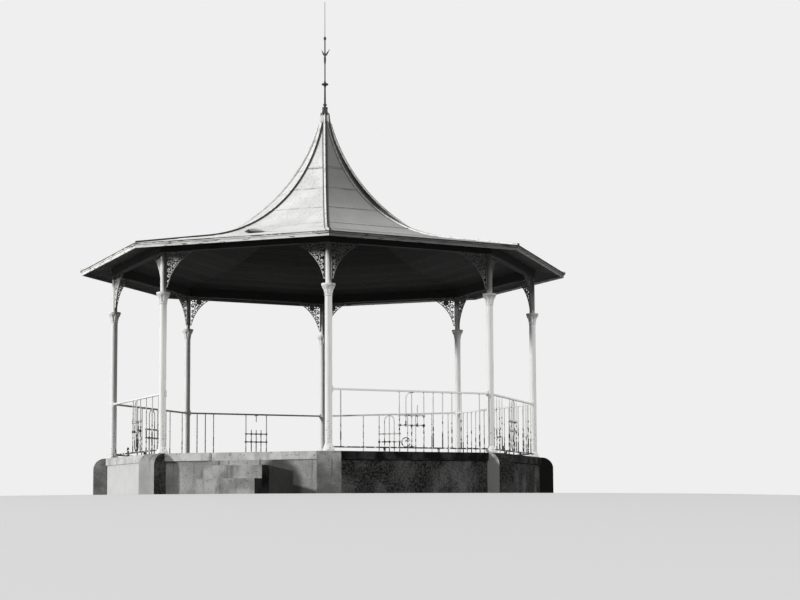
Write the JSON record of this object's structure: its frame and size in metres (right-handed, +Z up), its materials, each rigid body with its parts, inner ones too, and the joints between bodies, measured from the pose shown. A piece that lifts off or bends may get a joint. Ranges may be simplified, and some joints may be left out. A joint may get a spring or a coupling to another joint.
{
  "type": "bandstand",
  "caption": "Octagonal park bandstand: raised masonry plinth with steps, slender cast-iron columns with openwork brackets, railings and a hollow-curved tent roof with a finial.",
  "frame": {"origin": "centre of the plinth on the ground", "axes": "+Z up, the steps face -Y"},
  "size_m": [7.746, 7.854, 8.64],
  "materials": {
    "masonry": "weathered render",
    "white_paint": "old white gloss paint on cast iron",
    "grey_paint": "worn paint on iron",
    "painted_timber": "peeling paint",
    "roof_sheet": "dull weathered sheet metal",
    "dark_iron": "dark iron"
  },
  "bodies": {
    "root": {"brackets_1": "grey_paint", "brackets_2": "grey_paint", "brackets_3": "grey_paint", "brackets_4": "grey_paint", "brackets_5": "grey_paint", "brackets_6": "grey_paint", "brackets_7": "grey_paint", "brackets_8": "grey_paint", "column_1": "white_paint", "column_2": "white_paint", "column_3": "white_paint", "column_4": "white_paint", "column_5": "white_paint", "column_6": "white_paint", "column_7": "white_paint", "column_8": "white_paint", "eave_fascia": "painted_timber", "finial_drum": "dark_iron", "finial_rod": "dark_iron", "floor_slab": "masonry", "hip_rolls": "roof_sheet", "lower_step": "masonry", "plinth_coping": "masonry", "plinth_core": "masonry", "plinth_piers": "masonry", "plinth_wall_east": "masonry", "plinth_wall_north": "masonry", "plinth_wall_north_east": "masonry", "plinth_wall_north_west": "masonry", "plinth_wall_south": "masonry", "plinth_wall_south_east": "masonry", "plinth_wall_south_west": "masonry", "plinth_wall_west": "masonry", "railing_east": "grey_paint", "railing_north": "grey_paint", "railing_north_east": "grey_paint", "railing_north_west": "grey_paint", "railing_south_east": "grey_paint", "railing_south_west": "grey_paint", "railing_west": "grey_paint", "roof_deck": "painted_timber", "roof_sheet_east": "roof_sheet", "roof_sheet_north": "roof_sheet", "roof_sheet_north_east": "roof_sheet", "roof_sheet_north_west": "roof_sheet", "roof_sheet_south": "roof_sheet", "roof_sheet_south_east": "roof_sheet", "roof_sheet_south_west": "roof_sheet", "roof_sheet_west": "roof_sheet", "upper_step": "masonry", "wall_plate": "painted_timber"}
  },
  "joints": []
}
